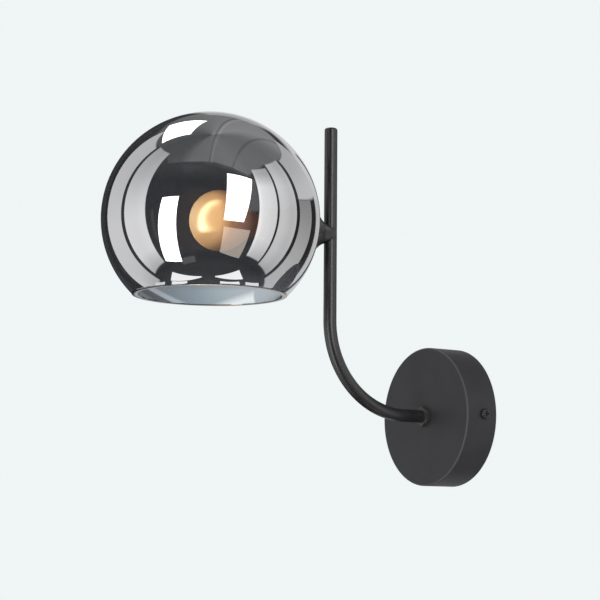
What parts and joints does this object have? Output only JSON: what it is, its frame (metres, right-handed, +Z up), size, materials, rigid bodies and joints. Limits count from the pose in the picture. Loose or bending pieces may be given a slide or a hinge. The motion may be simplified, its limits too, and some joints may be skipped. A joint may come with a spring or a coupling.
{
  "type": "wall sconce",
  "caption": "Wall sconce with a round canopy, a bent tube arm and a smoked glass globe, open below, clamped by its side to a screw-cap lampholder.",
  "frame": {"origin": "centre of the wall bracket's back, on the wall, behind the middle of the canopy", "axes": "+Z up, -Y out from the wall into the room, X along the wall"},
  "size_m": [0.16, 0.303, 0.2725],
  "materials": {
    "black_metal": "matte powder coat",
    "black_screw": "satin black",
    "smoked_glass": "polished, smoke mirror coat inside",
    "zinc_steel": "zinc plated",
    "brass": "plain",
    "white_plastic": "moulded",
    "brown_sheath": "sheath",
    "blue_sheath": "sheath",
    "black_plastic": "moulded, satin",
    "black_rubber": "soft",
    "bulb_glass": "amber, frosted",
    "bulb_insulator": "glossy",
    "filament": "warm yellow"
  },
  "bodies": {
    "fixture": {"canopy": "black_metal", "collar_nut": "black_metal", "arm_tube": "black_metal", "arm_end_cap": "black_metal", "shade_cone": "black_metal", "glass_globe": "smoked_glass", "wall_bracket": "zinc_steel", "inner_lock_washer": "zinc_steel", "inner_nut": "zinc_steel", "earth_screw": "brass", "arm_bush": "white_plastic", "terminal_block": "white_plastic", "terminal_screws": "zinc_steel", "live_wire": "brown_sheath", "neutral_wire": "blue_sheath", "holder_nipple": "zinc_steel", "nipple_nut": "zinc_steel", "holder_cap": "black_plastic", "holder_skirt": "black_plastic", "holder_core": "white_plastic", "centre_contact": "brass", "thread_contact": "brass", "outer_gasket": "black_rubber", "inner_gasket": "black_rubber"},
    "lamp": {"bulb_glass": "bulb_glass", "bulb_cap": "zinc_steel", "bulb_insulator": "bulb_insulator", "bulb_contact": "brass", "bulb_stem": "white_plastic", "led_filaments": "filament"},
    "shade_ring": {"shade_ring": "black_plastic"},
    "screw_left": {"side_screw_left": "black_screw"},
    "screw_right": {"side_screw_right": "black_screw"}
  },
  "joints": [
    {"name": "lamp_unscrew", "type": "slide", "parent": "fixture", "child": "lamp", "axis": [0, -1, 0], "range_m": [0, 0.024]},
    {"name": "shade_ring_unscrew", "type": "slide", "parent": "fixture", "child": "shade_ring", "axis": [0, -1, 0], "range_m": [0, 0.03]},
    {"name": "screw_left_unscrew", "type": "slide", "parent": "fixture", "child": "screw_left", "axis": [-1, 0, 0], "range_m": [0, 0.008]},
    {"name": "screw_right_unscrew", "type": "slide", "parent": "fixture", "child": "screw_right", "axis": [1, 0, 0], "range_m": [0, 0.008]}
  ]
}
